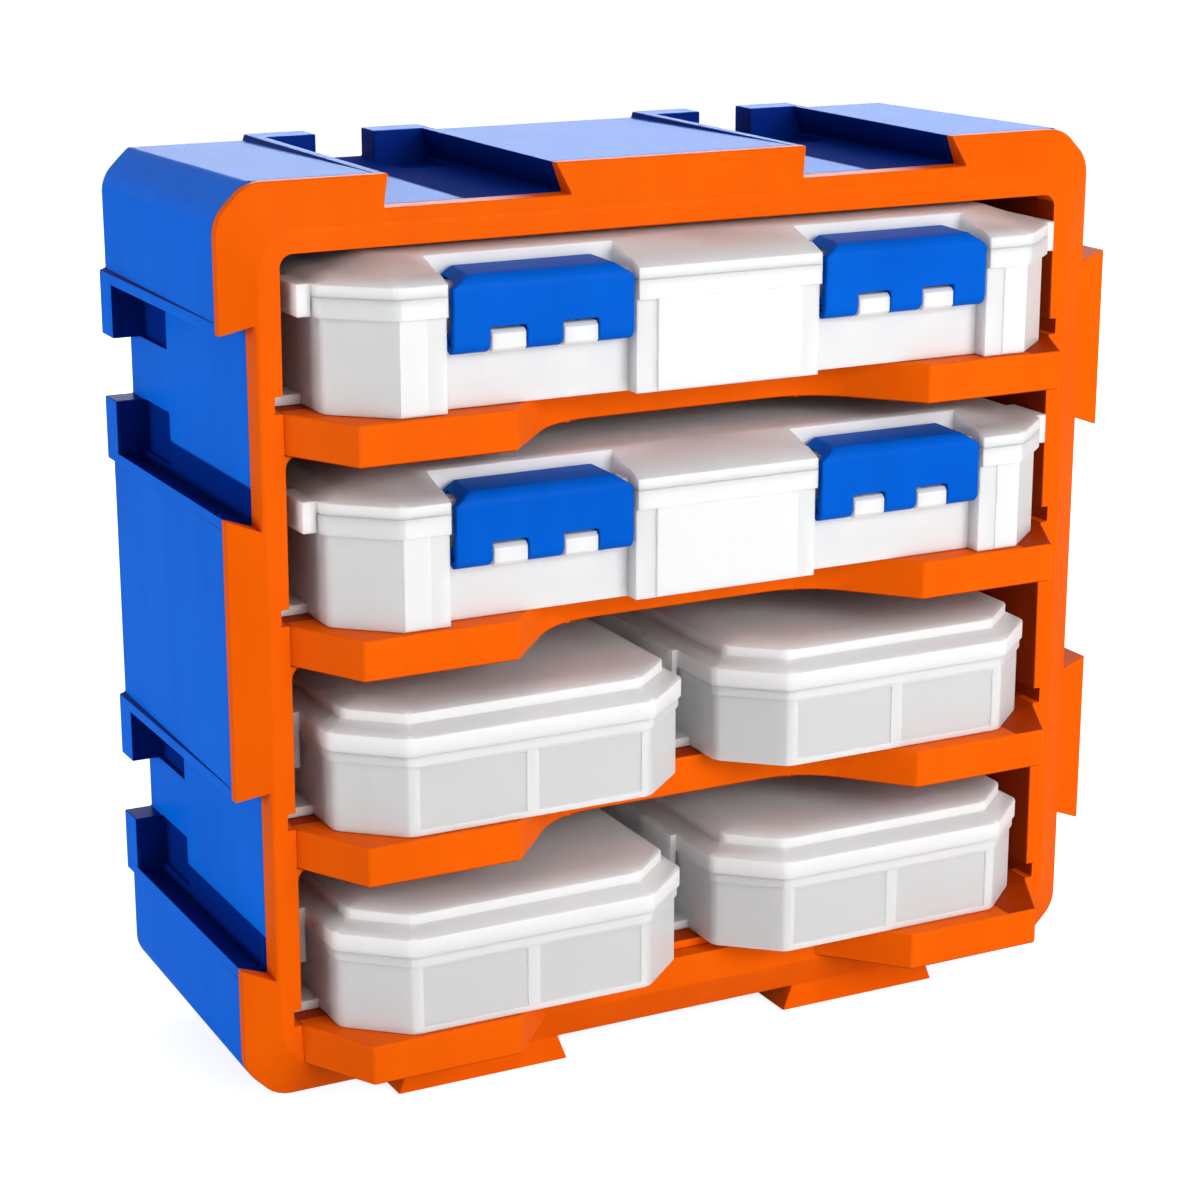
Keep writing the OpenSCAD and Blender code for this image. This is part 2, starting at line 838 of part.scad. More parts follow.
module small_tray() {
    field = small_half - small_cut_x - label_side;
    difference() {
        union() {
            slab(small_plan(0), 0, small_tray_h);
            slab(small_plan(-rim_out / 2), small_tray_h - small_rim_h, small_tray_h);
            block([-small_half - small_outer_runner, runner_front, 0],
                [small_half + small_inner_runner, case_back, runner_t]);
        }
        slab(small_plan(small_wall), small_wall, small_tray_h + over);
        for (s = [-1, 1])
            side_block(s, rib_w / 2, field, [-case_front - over, -case_front + label_sink],
                [label_edge, small_tray_h - small_rim_h - label_head]);
    }
    guides(-case_front + small_wall, case_back - small_wall, small_wall, small_tray_h - small_rim_h);
}

module small_divider() {
    block([-divider_t / 2, -case_front + small_wall + slip, small_wall],
        [divider_t / 2, case_back - small_wall - slip, small_tray_h - divider_low]);
}

// Outside of a small lid: band, slope, step and crown, set in by t and lowered by drop
module small_lid_form(t, drop, z0) {
    top = small_tray_h + small_band_h;
    edge = small_plan(t - rim_out);
    step = small_plan(t + small_step_in - rim_out);
    crown = small_plan(t + small_step_in + small_crown_in - rim_out);
    slab(edge, z0, top - drop);
    loft(edge, top - drop, step, top + small_step_z - drop);
    slab(step, top + small_step_z - drop, top + small_step_z + small_step_h - drop);
    loft(step, top + small_step_z + small_step_h - drop, crown, top + small_rise - drop);
}

module small_lid() {
    band_out = small_half + rim_out;
    band_up = small_tray_h + small_band_h;
    difference() {
        small_lid_form(0, 0, small_tray_h);
        small_lid_form(small_wall + rim_out, small_wall, small_tray_h - over);
        block([-band_out - over, case_back + lid_back, 0],
            [band_out + over, case_back + 3 * rim_out, band_up + small_rise + over]);
    }
    for (s = [-1, 1]) {
        side_block(s, band_out - over, band_out + tab_t, [tab_y, tab_y + tab_len], [small_tray_h, band_up]);
        side_block(s, band_out, band_out + tab_t, [tab_y, tab_y + tab_len],
            [small_tray_h - tab_drop, small_tray_h]);
    }
}

// Place of a small case; side is -1 on the left and 1 on the right, where it is a mirror image
module small_at(row, side) {
    stand()
        translate([mid_x + side * small_x, side > 0 ? right_set_back : 0, case_z(row)])
            mirror([side > 0 ? 1 : 0, 0, 0])
                children();
}

module third_left_tray() { color(clear) small_at(1, -1) small_tray(); }
module third_left_lid() { color(clear) small_at(1, -1) small_lid(); }
module third_left_divider() { color(clear) small_at(1, -1) small_divider(); }
module third_right_tray() { color(clear) small_at(1, 1) small_tray(); }
module third_right_lid() { color(clear) small_at(1, 1) small_lid(); }
module third_right_divider() { color(clear) small_at(1, 1) small_divider(); }
module fourth_left_tray() { color(clear) small_at(0, -1) small_tray(); }
module fourth_left_lid() { color(clear) small_at(0, -1) small_lid(); }
module fourth_left_divider() { color(clear) small_at(0, -1) small_divider(); }
module fourth_right_tray() { color(clear) small_at(0, 1) small_tray(); }
module fourth_right_lid() { color(clear) small_at(0, 1) small_lid(); }
module fourth_right_divider() { color(clear) small_at(0, 1) small_divider(); }

rear_shell();
front_bezel();
left_side_panel();
right_side_panel();
back_panel();
floor_shelf();
lower_shelf();
middle_shelf();
upper_shelf();
frame_screws();
top_tray();
top_lid();
top_dividers();
top_latch_left();
top_latch_right();
top_latch_pins();
top_hinge_pins();
second_tray();
second_lid();
second_dividers();
second_latch_left();
second_latch_right();
second_latch_pins();
second_hinge_pins();
third_left_tray();
third_left_lid();
third_left_divider();
third_right_tray();
third_right_lid();
third_right_divider();
fourth_left_tray();
fourth_left_lid();
fourth_left_divider();
fourth_right_tray();
fourth_right_lid();
fourth_right_divider();
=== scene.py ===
# Tool drawer cabinet: the looks of the moulded shell, the rack, the clear cases and their latches.
import json
import math
import bpy
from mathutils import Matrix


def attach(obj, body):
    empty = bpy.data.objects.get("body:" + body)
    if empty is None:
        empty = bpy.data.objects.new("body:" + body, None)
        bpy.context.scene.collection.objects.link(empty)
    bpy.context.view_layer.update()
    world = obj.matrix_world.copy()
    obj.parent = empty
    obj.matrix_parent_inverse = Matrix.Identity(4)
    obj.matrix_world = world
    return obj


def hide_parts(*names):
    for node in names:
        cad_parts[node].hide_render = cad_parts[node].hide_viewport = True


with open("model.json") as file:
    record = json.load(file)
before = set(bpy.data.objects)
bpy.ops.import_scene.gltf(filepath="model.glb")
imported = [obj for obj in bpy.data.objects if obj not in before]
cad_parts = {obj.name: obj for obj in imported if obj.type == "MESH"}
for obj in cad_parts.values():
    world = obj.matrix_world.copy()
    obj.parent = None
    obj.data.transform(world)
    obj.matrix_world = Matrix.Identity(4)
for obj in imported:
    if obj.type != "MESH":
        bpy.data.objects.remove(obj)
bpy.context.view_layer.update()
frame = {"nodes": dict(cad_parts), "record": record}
mm = 0.001

# Places in the cabinet, in metres

middle_x = -4.25 * mm
screw_x = (-142.55 * mm, 134.05 * mm)
small_x = {"left": -70.25 * mm, "right": 61.75 * mm}
latch_axis_y = -66.0 * mm
hinge_axis_y = 61.1 * mm
label_z = {"third": 108.05 * mm, "fourth": 44.8 * mm}
body_x = (-154.25 * mm, 145.75 * mm)
body_z = (8.5 * mm, 288.5 * mm)
body_corner = 10.0 * mm
body_round = 4.0 * mm
case_round = 2.0 * mm
seam_y = -35.5 * mm
shell_depth = 105.0 * mm
shell_lean = 2.0 * mm
crown_x = (-144.05 * mm, 135.55 * mm)
crown_z = (19.5 * mm, 275.0 * mm)
crown_corner = 8.0 * mm
slot_x = (-74.25 * mm, 65.75 * mm)
slot_z = (78.5 * mm, 218.5 * mm)
slot_pitch = 140.0 * mm
slot_half = 30.6 * mm
slot_floor_half = 30.1 * mm
slot_depth = 9.2 * mm
pocket_depth = 11.0 * mm
pocket_length = 24.0 * mm
stop_y = 58.5 * mm
stop_gap_half = 10.0 * mm
window_half = 137.0 * mm
ledge_y = -41.0 * mm
ledge_end_x = 105.0 * mm
window_z = (25.0 * mm, 270.0 * mm)
across, along, upward = (1, 0, 0), (0, 1, 0), (0, 0, 1)


# Ways of working on one piece

def hold(piece):
    """Makes one piece the only selected and active one."""
    if bpy.context.object and bpy.context.object.mode != "OBJECT":
        bpy.ops.object.mode_set(mode="OBJECT")
    bpy.ops.object.select_all(action="DESELECT")
    piece.select_set(True)
    bpy.context.view_layer.objects.active = piece


def pick_edges(piece, wanted):
    """Selects the edges whose two ends satisfy wanted, and goes into edit mode."""
    hold(piece)
    bpy.ops.object.mode_set(mode="EDIT")
    bpy.ops.mesh.select_mode(type="EDGE")
    bpy.ops.mesh.select_all(action="DESELECT")
    bpy.ops.object.mode_set(mode="OBJECT")
    mesh = piece.data
    for edge in mesh.edges:
        a, b = (mesh.vertices[i].co for i in edge.vertices)
        edge.select = wanted(a, b)
    bpy.ops.object.mode_set(mode="EDIT")


def round_edges(piece, wanted, radius, segments):
    """Rounds the edges that satisfy wanted."""
    pick_edges(piece, wanted)
    bpy.ops.mesh.bevel(offset=radius, offset_type="OFFSET", segments=segments, affect="EDGES",
                       clamp_overlap=False)
    bpy.ops.object.mode_set(mode="OBJECT")


def edges_with_faces(mesh):
    """The two faces at each edge, by the edge's two points."""
    sides = {}
    for face in mesh.polygons:
        for key in face.edge_keys:
            sides.setdefault(key, []).append(face)
    return {key: faces for key, faces in sides.items() if len(faces) == 2}


def case_corners(mesh):
    """The ends of the outward corners between the front, the facets and the sides of a case."""
    least_turn, most_turn, steepness, shortest = 25, 62, 0.3, 2.0 * mm
    found = set()
    for key, (one, other) in edges_with_faces(mesh).items():
        a, b = (mesh.vertices[i].co for i in key)
        length = (a - b).length
        turn = math.degrees(one.normal.angle(other.normal))
        outward = (other.center - one.center).dot(one.normal) < 0.0
        upright = abs(a.z - b.z) > steepness * length
        if least_turn < turn < most_turn and outward and upright and length > shortest:
            found.add(frozenset((tuple(a), tuple(b))))
    return found


def round_case_corners(piece):
    corners = case_corners(piece.data)
    round_edges(piece, lambda a, b: frozenset((tuple(a), tuple(b))) in corners, case_round, 3)


def soften(piece, radius, segments=2, least_turn=28, shortest=1.2 * mm):
    """Gives the sharp edges the small radius of a moulded piece. Short edges, such as those of bores, and
    the tips of knife edges stay as they are."""
    hold(piece)
    mesh = piece.data
    knife_turn, smooth_turn, flat_weight = 150, 32, 80
    turns = {key: math.degrees(one.normal.angle(other.normal))
             for key, (one, other) in edges_with_faces(mesh).items()}
    weight = mesh.attributes.new("bevel_weight_edge", "FLOAT", "EDGE")
    for edge in mesh.edges:
        a, b = (mesh.vertices[i].co for i in edge.vertices)
        sharp = least_turn < turns.get(edge.key, 0.0) < knife_turn
        weight.data[edge.index].value = 1.0 if sharp and (a - b).length > shortest else 0.0
    bevel = piece.modifiers.new("edge_radius", "BEVEL")
    bevel.width = radius
    bevel.segments = segments
    bevel.limit_method = "WEIGHT"
    bevel.use_clamp_overlap = False
    bevel.miter_outer = "MITER_ARC"
    bpy.ops.object.modifier_apply(modifier="edge_radius")
    bpy.ops.object.shade_smooth_by_angle(angle=math.radians(smooth_turn))
    flat = piece.modifiers.new("flat_faces", "WEIGHTED_NORMAL")
    flat.weight = flat_weight
    flat.keep_sharp = True
    bpy.ops.object.modifier_apply(modifier="flat_faces")


def tint(piece, material, wanted):
    """Gives the faces that satisfy wanted another material."""
    piece.data.materials.append(material)
    for face in piece.data.polygons:
        if wanted(face.center, face.normal):
            face.material_index = len(piece.data.materials) - 1


def moulded(node, name, material, cuts=()):
    """A copy of a node's solid with its faces joined up, standing for that node. A face with a hole
    is cut in two along the planes in cuts, so that the hole stays open."""
    same_point, same_plane = 0.02 * mm, math.radians(0.6)
    piece = bpy.data.objects.new(name, frame["nodes"][node].data.copy())
    bpy.context.scene.collection.objects.link(piece)
    piece.data.materials.clear()
    piece.data.materials.append(material)
    hold(piece)
    bpy.ops.object.mode_set(mode="EDIT")
    bpy.ops.mesh.select_all(action="SELECT")
    bpy.ops.mesh.customdata_custom_splitnormals_clear()
    bpy.ops.mesh.remove_doubles(threshold=same_point)
    bpy.ops.mesh.select_mode(type="EDGE")
    for point, normal in cuts:
        bpy.ops.mesh.select_all(action="SELECT")
        bpy.ops.mesh.bisect(plane_co=point, plane_no=normal)
        bpy.ops.mesh.mark_seam()
    bpy.ops.mesh.select_all(action="SELECT")
    bpy.ops.mesh.dissolve_limited(angle_limit=same_plane, delimit={"SEAM"})
    bpy.ops.object.mode_set(mode="OBJECT")
    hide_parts(node)
    for body, members in frame["record"]["behaviour"]["bodies"].items():
        if node in members:
            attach(piece, body)
    return piece


def cut_x(x):
    return (x, 0, 0), across


def cut_y(y):
    return (0, y, 0), along


def cut_z(z):
    return (0, 0, z), upward


# Materials

def group_socket(group, name, way, kind, value=None):
    socket = group.interface.new_socket(name=name, in_out=way, socket_type=kind)
    if value is not None:
        socket.default_value = value


def math_node(nodes, links, operation, *values):
    """A maths node; a value is a number or the socket that gives it."""
    node = nodes.new("ShaderNodeMath")
    node.operation = operation
    for socket, value in zip(node.inputs, values):
        if isinstance(value, (int, float)):
            socket.default_value = value
        else:
            links.new(value, socket)
    return node.outputs[0]


def range_node(nodes, links, value, from_range, to_range, interpolation="LINEAR"):
    """Maps a value from one range to another."""
    node = nodes.new("ShaderNodeMapRange")
    node.interpolation_type = interpolation
    node.inputs["From Min"].default_value, node.inputs["From Max"].default_value = from_range
    node.inputs["To Min"].default_value, node.inputs["To Max"].default_value = to_range
    links.new(value, node.inputs["Value"])
    return node.outputs["Result"]


def make_moulding_group():
    """Satin grain, slow waviness and faint flow marks of an injection moulded face."""
    group = bpy.data.node_groups.new("moulded_face", "ShaderNodeTree")
    group_socket(group, "Place", "INPUT", "NodeSocketVector")
    group_socket(group, "Grain Size", "INPUT", "NodeSocketFloat", 1600.0)
    group_socket(group, "Wave Size", "INPUT", "NodeSocketFloat", 22.0)
    group_socket(group, "Height", "OUTPUT", "NodeSocketFloat")
    group_socket(group, "Tone", "OUTPUT", "NodeSocketFloat")
    group_socket(group, "Gloss", "OUTPUT", "NodeSocketFloat")
    nodes, links = group.nodes, group.links
    start = nodes.new("NodeGroupInput")
    end = nodes.new("NodeGroupOutput")
    grain = nodes.new("ShaderNodeTexNoise")
    grain.inputs["Detail"].default_value = 3.0
    grain.inputs["Roughness"].default_value = 0.6
    links.new(start.outputs["Place"], grain.inputs["Vector"])
    links.new(start.outputs["Grain Size"], grain.inputs["Scale"])
    wave = nodes.new("ShaderNodeTexNoise")
    wave.inputs["Detail"].default_value = 2.0
    links.new(start.outputs["Place"], wave.inputs["Vector"])
    links.new(start.outputs["Wave Size"], wave.inputs["Scale"])
    flow = nodes.new("ShaderNodeMapping")
    flow.inputs["Scale"].default_value = (1.0, 1.0, 0.12)
    links.new(start.outputs["Place"], flow.inputs["Vector"])
    streak = nodes.new("ShaderNodeTexNoise")
    streak.inputs["Scale"].default_value = 90.0
    streak.inputs["Detail"].default_value = 4.0
    links.new(flow.outputs["Vector"], streak.inputs["Vector"])
    grain_height, streak_share = 0.35, 0.45
    height = math_node(nodes, links, "MULTIPLY_ADD", grain.outputs["Fac"], grain_height, wave.outputs["Fac"])
    links.new(height, end.inputs["Height"])
    rest = math_node(nodes, links, "MULTIPLY", wave.outputs["Fac"], 1.0 - streak_share)
    tone = math_node(nodes, links, "MULTIPLY_ADD", streak.outputs["Fac"], streak_share, rest)
    links.new(tone, end.inputs["Tone"])
    gloss = range_node(nodes, links, grain.outputs["Fac"], (0.3, 0.7), (-1.0, 1.0))
    links.new(gloss, end.inputs["Gloss"])
    return group


def make_slot_shade_group():
    """Mask of the deep shade that lies on the slot floors along their lower or right wall and in front of
    the stops. The slots repeat at one pitch, upwards on the left side and across on the top."""
    group = bpy.data.node_groups.new("slot_shade", "ShaderNodeTree")
    group_socket(group, "Place", "INPUT", "NodeSocketVector")
    group_socket(group, "Shade", "OUTPUT", "NodeSocketFloat")
    nodes, links = group.nodes, group.links
    start = nodes.new("NodeGroupInput")
    end = nodes.new("NodeGroupOutput")
    axes = nodes.new("ShaderNodeSeparateXYZ")
    links.new(start.outputs["Place"], axes.inputs[0])
    x, y, z = (axes.outputs[i] for i in ("X", "Y", "Z"))
    left_strip, top_strip = 12.0 * mm, 34.0 * mm
    shallowest, deepest = 1.0 * mm, pocket_depth + 1.5 * mm
    blend, far_away = 0.35, 9.0

    def number(operation, *values):
        return math_node(nodes, links, operation, *values)

    def one_face(place, first, depth, strip, side):
        """Shade in the slots of one face of the body; side tells the shaded wall from the other."""
        half_pitch = slot_pitch / 2.0
        turned = number("FLOORED_MODULO", number("SUBTRACT", place, first - half_pitch), slot_pitch)
        offset = number("SUBTRACT", turned, half_pitch)
        aside = number("ABSOLUTE", offset)
        deep = number("GREATER_THAN", depth, shallowest)
        inside = number("MULTIPLY", deep, number("LESS_THAN", depth, deepest))
        inside = number("MULTIPLY", inside, number("LESS_THAN", aside, slot_half))
        from_wall = number("DIVIDE", number("ADD", number("MULTIPLY", offset, side), slot_floor_half), strip)
        in_gap = number("SUBTRACT", 1.0, number("GREATER_THAN", aside, stop_gap_half))
        from_stop = number("DIVIDE", number("SUBTRACT", stop_y, y), pocket_length)
        from_stop = number("ADD", from_stop, number("MULTIPLY", in_gap, far_away))
        nearest = number("SMOOTH_MIN", from_wall, from_stop, blend)
        edge = range_node(nodes, links, nearest, (0.90, 1.0), (1.0, 0.0), "SMOOTHSTEP")
        return number("MULTIPLY", inside, edge)

    left = one_face(z, slot_z[0], number("ADD", x, -body_x[0]), left_strip, 1.0)
    top = one_face(x, slot_x[0], number("SUBTRACT", body_z[1], z), top_strip, -1.0)
    links.new(number("MAXIMUM", left, top), end.inputs["Shade"])
    return group


def moulded_plastic(name, dark, light, roughness, spread, bump, specular, grain_size=1600.0):
    """A coloured moulded plastic: its tone wanders between two colours, and its grain breaks the gloss."""
    material = bpy.data.materials.new(name)
    material.use_nodes = True
    nodes, links = material.node_tree.nodes, material.node_tree.links
    shader = nodes["Principled BSDF"]
    place = nodes.new("ShaderNodeTexCoord")
    face = nodes.new("ShaderNodeGroup")
    face.node_tree = moulding_group
    face.inputs["Grain Size"].default_value = grain_size
    links.new(place.outputs["Object"], face.inputs["Place"])
    colour = nodes.new("ShaderNodeValToRGB")
    for stop, position, value in zip(colour.color_ramp.elements, (0.35, 0.65), (dark, light)):
        stop.position = position
        stop.color = (*value, 1.0)
    links.new(face.outputs["Tone"], colour.inputs["Fac"])
    links.new(colour.outputs["Color"], shader.inputs["Base Color"])
    rough = math_node(nodes, links, "MULTIPLY_ADD", face.outputs["Gloss"], spread, roughness)
    links.new(rough, shader.inputs["Roughness"])
    shader.inputs["Specular IOR Level"].default_value = specular
    relief = nodes.new("ShaderNodeBump")
    relief.inputs["Strength"].default_value = bump
    relief.inputs["Distance"].default_value = 0.4 * mm
    links.new(face.outputs["Height"], relief.inputs["Height"])
    links.new(relief.outputs["Normal"], shader.inputs["Normal"])
    return material


def shade_slots(material, deep):
    """Draws the shade in the slots over a material's colour, and dulls its gloss there."""
    shade_roughness = 0.95
    nodes, links = material.node_tree.nodes, material.node_tree.links
    shader = nodes["Principled BSDF"]
    colour = shader.inputs["Base Color"].links[0].from_socket
    rough = shader.inputs["Roughness"].links[0].from_socket
    shade = nodes.new("ShaderNodeGroup")
    shade.node_tree = make_slot_shade_group()
    place = nodes.new("ShaderNodeTexCoord")
    links.new(place.outputs["Object"], shade.inputs["Place"])
    mix = nodes.new("ShaderNodeMix")
    mix.data_type = "RGBA"
    factor, plain, shaded = (mix.inputs[i] for i in (0, 6, 7))
    shaded.default_value = (*deep, 1.0)
    links.new(shade.outputs["Shade"], factor)
    links.new(colour, plain)
    links.new(mix.outputs[2], shader.inputs["Base Color"])
    dull = math_node(nodes, links, "MULTIPLY", shade.outputs["Shade"], shade_roughness)
    links.new(math_node(nodes, links, "MAXIMUM", rough, dull), shader.inputs["Roughness"])


def frosted_plastic(name, dark, light, passing):
    """Translucent moulded plastic: light spreads in it, and a share of it passes through."""
    material = moulded_plastic(name, dark, light, roughness=0.34, spread=0.05, bump=0.06, specular=0.4)
    shader = material.node_tree.nodes["Principled BSDF"]
    shader.inputs["Subsurface Weight"].default_value = 0.85
    shader.inputs["Subsurface Radius"].default_value = (1.0, 1.0, 1.0)
    shader.inputs["Subsurface Scale"].default_value = 6.0 * mm
    shader.inputs["Transmission Weight"].default_value = passing
    shader.inputs["IOR"].default_value = 1.49
    return material


moulding_group = make_moulding_group()
shell_blue = moulded_plastic("shell_blue", (0.0008, 0.128, 0.72), (0.0010, 0.150, 0.80),
                             roughness=0.38, spread=0.05, bump=0.10, specular=0.012)
shade_slots(shell_blue, (0.0004, 0.020, 0.22))
# A dark blue that paints the shade on the slots' walls, stops and pockets
slot_painted_shade_blue = moulded_plastic("slot_painted_shade_blue", (0.0003, 0.014, 0.16), (0.0004, 0.020, 0.20),
                            roughness=0.46, spread=0.05, bump=0.10, specular=0.02)
latch_blue = moulded_plastic("latch_blue", (0.0007, 0.086, 0.50), (0.0010, 0.102, 0.57),
                             roughness=0.34, spread=0.04, bump=0.06, specular=0.012)
rack_orange = moulded_plastic("rack_orange", (0.76, 0.098, 0.0006), (0.83, 0.113, 0.0008),
                              roughness=0.40, spread=0.05, bump=0.10, specular=0.02)
# A darker copy of the rack's orange that paints the shade inside the cabinet
painted_shade_orange = moulded_plastic("painted_shade_orange", (0.34, 0.030, 0.0005), (0.40, 0.037, 0.0006),
                                roughness=0.46, spread=0.05, bump=0.10, specular=0.02)
frosted_white = frosted_plastic("frosted_white", (0.965, 0.972, 0.978), (0.99, 0.992, 0.994), passing=0.10)
# A clearer frosted plastic that lets more light through; its darker, cooler colour is also a painted shade
frosted_clear_painted_shade = frosted_plastic("frosted_clear_painted_shade", (0.86, 0.895, 0.92), (0.97, 0.98, 0.988), passing=0.25)
pin_steel = moulded_plastic("pin_steel", (0.50, 0.51, 0.53), (0.62, 0.63, 0.65),
                            roughness=0.32, spread=0.08, bump=0.05, specular=0.5, grain_size=2600.0)
pin_steel.node_tree.nodes["Principled BSDF"].inputs["Metallic"].default_value = 1.0


# Edges and faces that are picked out

def is_front(n):
    return n.y < -0.9


def is_under(n):
    return n.z < -0.5


def is_upright(n):
    return abs(n.z) < 0.3


def corner_points(xs, zs, cut, inset=0.0):
    """The eight ends of the slanted corners of an outline that is set in, as pairs of x and z."""
    points = []
    cut -= inset * (2.0 - math.sqrt(2.0))
    for x, inward in zip(xs, (1, -1)):
        for z, upwards in zip(zs, (1, -1)):
            points += [(x + inward * (inset + cut), z + upwards * inset),
                       (x + inward * inset, z + upwards * (inset + cut))]
    return points


def place_in(v, points):
    """The number of the point that v lies at, or None."""
    reach = 0.15 * mm
    for i, (x, z) in enumerate(points):
        if math.hypot(v.x - x, v.z - z) < reach:
            return i
    return None


def body_corner_at(v):
    """The number of the body's corner line that v lies on, or None; the walls lean in to the rear."""
    lean = shell_lean * max(0.0, v.y - seam_y) / shell_depth
    return place_in(v, corner_points(body_x, body_z, body_corner, lean))


def corner_edge(a, b):
    """Edges that run to the rear, or down the bevel, at the slanted corners of the body."""
    if abs(a.y - b.y) < 2.0 * mm:
        return False
    first, second = (a, b) if a.y > b.y else (b, a)
    i = body_corner_at(first)
    if i is None:
        return False
    return i in (body_corner_at(second), place_in(second, corner_points(crown_x, crown_z, crown_corner)))


def painted_shade_slot_faces(c, n):
    """Walls, stops and pockets of the dovetail slots, without their floors and the faces outside: they get
    the painted shade of the slots.
    """
    faces_rear = n.y > 0.5
    if faces_rear:
        return False
    shallowest, deepest = 0.2 * mm, 1.2 * slot_depth
    top_depth, left_depth = body_z[1] - c.z, c.x - body_x[0]
    for x in slot_x:
        if abs(c.x - x) < slot_half and shallowest < top_depth < deepest and n.z < 0.9:
            return True
    for z in slot_z:
        if abs(c.z - z) < slot_half and shallowest < left_depth < deepest and n.x > -0.9:
            return True
    return False


def window_side(c, n):
    """The upright sides of the bezel's window, which get the painted shade of the bays."""
    return abs(n.x) > 0.9 and abs(c.x - middle_x) < window_half and window_z[0] < c.z < window_z[1]


def shelf_shade(c, n):
    """The flat faces of a shelf that get a painted shade: the underside, and the top behind the front
    ledge and at its right end."""
    return n.z < -0.9 or (n.z > 0.9 and (c.y > ledge_y or c.x > ledge_end_x))


# Rack and shell

shell = moulded("rear_shell", "shell_moulding", shell_blue,
                [cut_x(x) for x in (*screw_x, middle_x)])
# The slots' walls, stops and pockets get the dark blue of painted shade
tint(shell, slot_painted_shade_blue, painted_shade_slot_faces)
round_edges(shell, corner_edge, body_round, 4)
soften(shell, 0.5 * mm)
bezel = moulded("front_bezel", "bezel_moulding", rack_orange, [cut_x(middle_x)])
# The window's upright sides get the painted shade orange
tint(bezel, painted_shade_orange, window_side)
round_edges(bezel, corner_edge, body_round, 4)
soften(bezel, 0.45 * mm, least_turn=12)
# The side panels are wholly in the painted shade orange
for side, x in zip(("left", "right"), screw_x):
    panel = moulded(side + "_side_panel", side + "_panel_moulding", painted_shade_orange,
                    [cut_x(x)])
    soften(panel, 0.4 * mm)
# The back panel is wholly in the painted shade orange
back = moulded("back_panel", "back_panel_moulding", painted_shade_orange)
soften(back, 0.3 * mm)
for level in ("floor", "lower", "middle", "upper"):
    shelf = moulded(level + "_shelf", level + "_shelf_moulding", rack_orange,
                    [cut_y(ledge_y), cut_x(ledge_end_x)])
    # Shelf undersides and the tops in the bays get the painted shade orange
    tint(shelf, painted_shade_orange, shelf_shade)
    soften(shelf, 0.8 * mm, 3)

# Wide cases

tray_edge, lid_edge, case_shortest = 0.22 * mm, 0.3 * mm, 0.6 * mm
for row in ("top", "second"):
    tray = moulded(row + "_tray", row + "_tray_moulding", frosted_clear_painted_shade,
                   [cut_x(middle_x), cut_y(latch_axis_y), cut_y(hinge_axis_y)])
    # Fronts and undersides are white; the tray's sides and facets keep the darker colour of painted shade
    tint(tray, frosted_white, lambda c, n: is_front(n) or is_under(n))
    round_case_corners(tray)
    soften(tray, tray_edge, shortest=case_shortest)
    lid = moulded(row + "_lid", row + "_lid_moulding", frosted_clear_painted_shade,
                  [cut_x(middle_x), cut_y(hinge_axis_y)])
    # Upright faces are white; the lid's top keeps the darker colour of painted shade
    tint(lid, frosted_white, lambda c, n: is_upright(n))
    round_case_corners(lid)
    soften(lid, lid_edge, shortest=case_shortest)
    dividers = moulded(row + "_dividers", row + "_dividers_moulding", frosted_clear_painted_shade)
    soften(dividers, lid_edge)
    for side in ("left", "right"):
        latch = moulded("%s_latch_%s" % (row, side), "%s_%s_latch_moulding" % (row, side), latch_blue,
                        [cut_y(latch_axis_y)])
        soften(latch, 0.6 * mm, 3, shortest=0.3 * mm)

# Small cases

for row in ("third", "fourth"):
    for side in ("left", "right"):
        for part in ("tray", "lid", "divider"):
            name = "%s_%s_%s" % (row, side, part)
            piece = moulded(name, name + "_moulding", frosted_clear_painted_shade,
                            [cut_x(small_x[side]), cut_z(label_z[row])])
            if part != "divider":
                # Fronts, and a lid's upright faces, are white; the rest keeps the darker colour of painted
                # shade
                tint(piece, frosted_white, lambda c, n: is_upright(n) and (is_front(n) or part == "lid"))
                round_case_corners(piece)
            soften(piece, tray_edge if part == "tray" else lid_edge, shortest=case_shortest)

for node in ("frame_screws", "top_latch_pins", "top_hinge_pins", "second_latch_pins", "second_hinge_pins"):
    steel = frame["nodes"][node]
    steel.data.materials.clear()
    steel.data.materials.append(pin_steel)


# Floor, lights and camera

def make_floor():
    """A pale floor that the camera sees as white, with the cabinet's shadow on it."""
    grey, glow = 0.72, 0.78
    hold(shell)
    bpy.ops.mesh.primitive_plane_add(size=14.0, location=(0.0, 3.0, -0.2 * mm))
    floor = bpy.context.object
    floor.name = "pale_floor"
    material = bpy.data.materials.new("pale_floor")
    material.use_nodes = True
    nodes, links = material.node_tree.nodes, material.node_tree.links
    shader = nodes["Principled BSDF"]
    shader.inputs["Base Color"].default_value = (grey, grey, grey, 1.0)
    shader.inputs["Roughness"].default_value = 0.9
    shader.inputs["Specular IOR Level"].default_value = 0.1
    shader.inputs["Emission Color"].default_value = (1.0, 1.0, 1.0, 1.0)
    path = nodes.new("ShaderNodeLightPath")
    seen = math_node(nodes, links, "MAXIMUM", path.outputs["Is Camera Ray"],
                     path.outputs["Is Transmission Ray"])
    links.new(math_node(nodes, links, "MULTIPLY", seen, glow), shader.inputs["Emission Strength"])
    floor.data.materials.append(material)


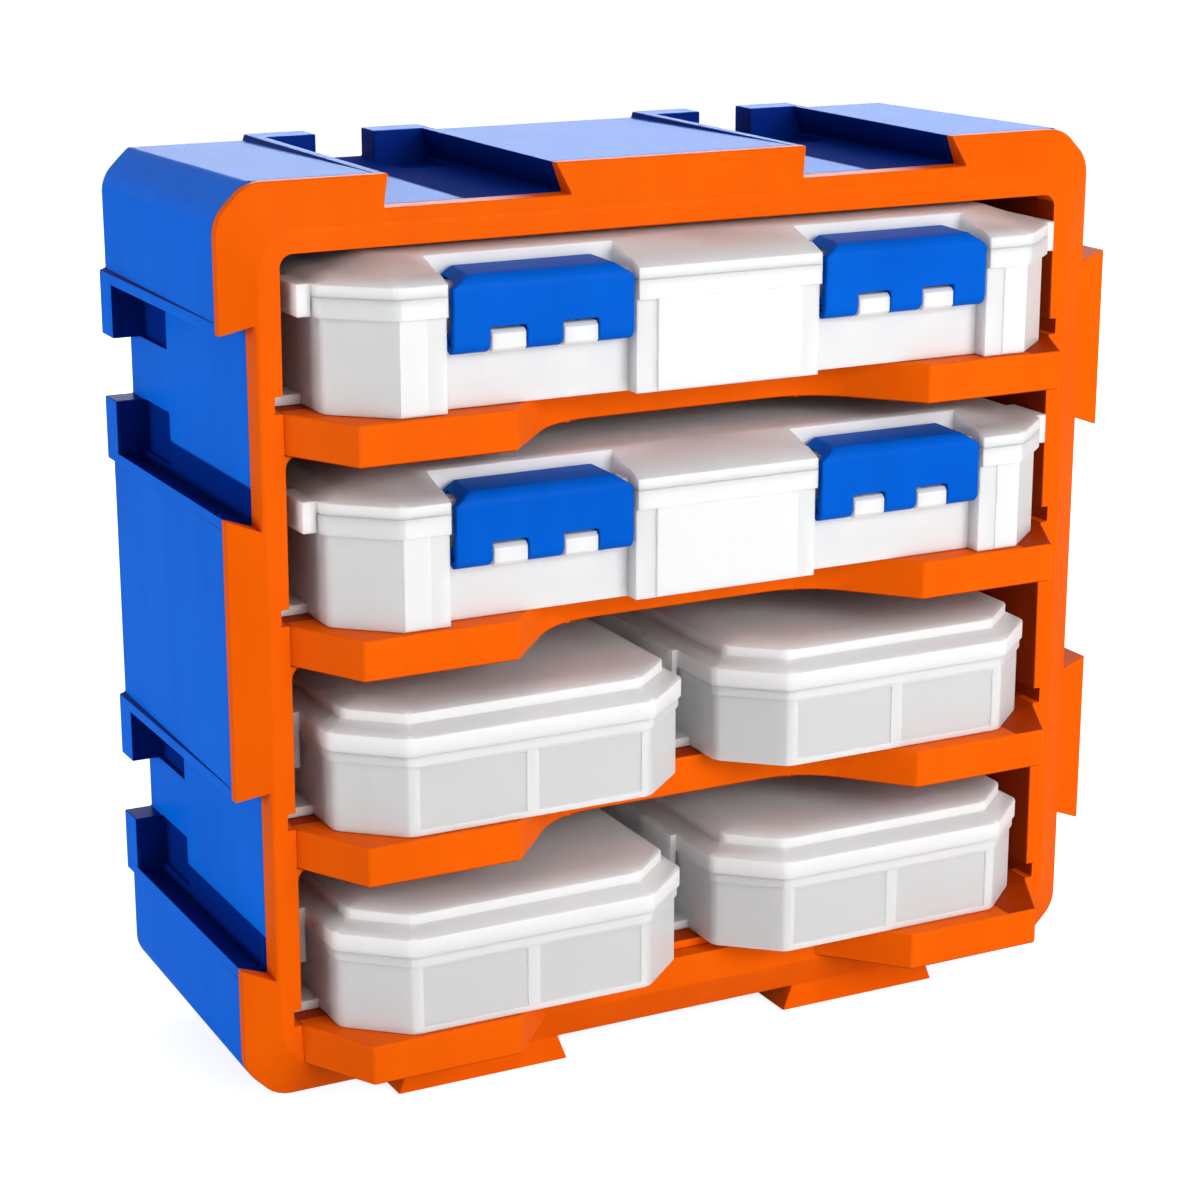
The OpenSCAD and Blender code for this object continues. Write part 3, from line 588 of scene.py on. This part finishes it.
def softbox(name, place, aim, width, height, power, colour=(1.0, 1.0, 1.0)):
    """A lamp with a rectangular soft face, turned to the place it aims at."""
    light = bpy.data.lights.new(name, "AREA")
    light.shape = "RECTANGLE"
    light.size = width
    light.size_y = height
    light.energy = power
    light.color = colour
    lamp = bpy.data.objects.new(name, light)
    bpy.context.scene.collection.objects.link(lamp)
    lamp.location = place
    x, y, z = (a - p for a, p in zip(aim, place))
    lamp.rotation_euler = (math.atan2(math.hypot(x, y), -z), 0.0, math.atan2(-x, y))


def make_world():
    """A soft even fill, with a plain white background for the camera, gloss and clear pieces."""
    fill_strength, white_strength = 0.30, 1.0
    world = bpy.data.worlds.new("studio")
    bpy.context.scene.world = world
    world.use_nodes = True
    nodes, links = world.node_tree.nodes, world.node_tree.links
    fill = nodes["Background"]
    white = nodes.new("ShaderNodeBackground")
    for light, strength in ((fill, fill_strength), (white, white_strength)):
        light.inputs["Color"].default_value = (1.0, 1.0, 1.0, 1.0)
        light.inputs["Strength"].default_value = strength
    path = nodes.new("ShaderNodeLightPath")
    seen = math_node(nodes, links, "MAXIMUM", path.outputs["Is Camera Ray"], path.outputs["Is Glossy Ray"])
    seen = math_node(nodes, links, "MAXIMUM", seen, path.outputs["Is Transmission Ray"])
    mix = nodes.new("ShaderNodeMixShader")
    links.new(seen, mix.inputs["Fac"])
    links.new(fill.outputs["Background"], mix.inputs[1])
    links.new(white.outputs["Background"], mix.inputs[2])
    links.new(mix.outputs["Shader"], nodes["World Output"].inputs["Surface"])


def make_camera():
    tilt, turn = 15.93, 27.31
    lens = bpy.data.cameras.new("front_left")
    lens.lens = 86.90
    lens.sensor_width = 36.0
    camera = bpy.data.objects.new("front_left", lens)
    bpy.context.scene.collection.objects.link(camera)
    camera.location = (-0.42934, -0.80693, 0.39894)
    camera.rotation_euler = (math.radians(90.0 - tilt), 0.0, math.radians(-turn))
    bpy.context.scene.camera = camera


make_floor()
make_world()
softbox("left_key", (-1.6, 0.12, 0.30), (0.0, 0.0, 0.14), width=0.9, height=0.4, power=10.0)
softbox("front_key", (0.35, -1.40, 0.60), (0.0, 0.0, 0.12), width=1.0, height=0.7, power=20.0)
softbox("rear_strip", (0.95, 1.35, 0.80), (0.0, 0.0, 0.28), width=1.6, height=0.5, power=23.0,
        colour=(0.86, 0.97, 1.0))
make_camera()
bpy.context.scene.view_settings.view_transform = "Standard"
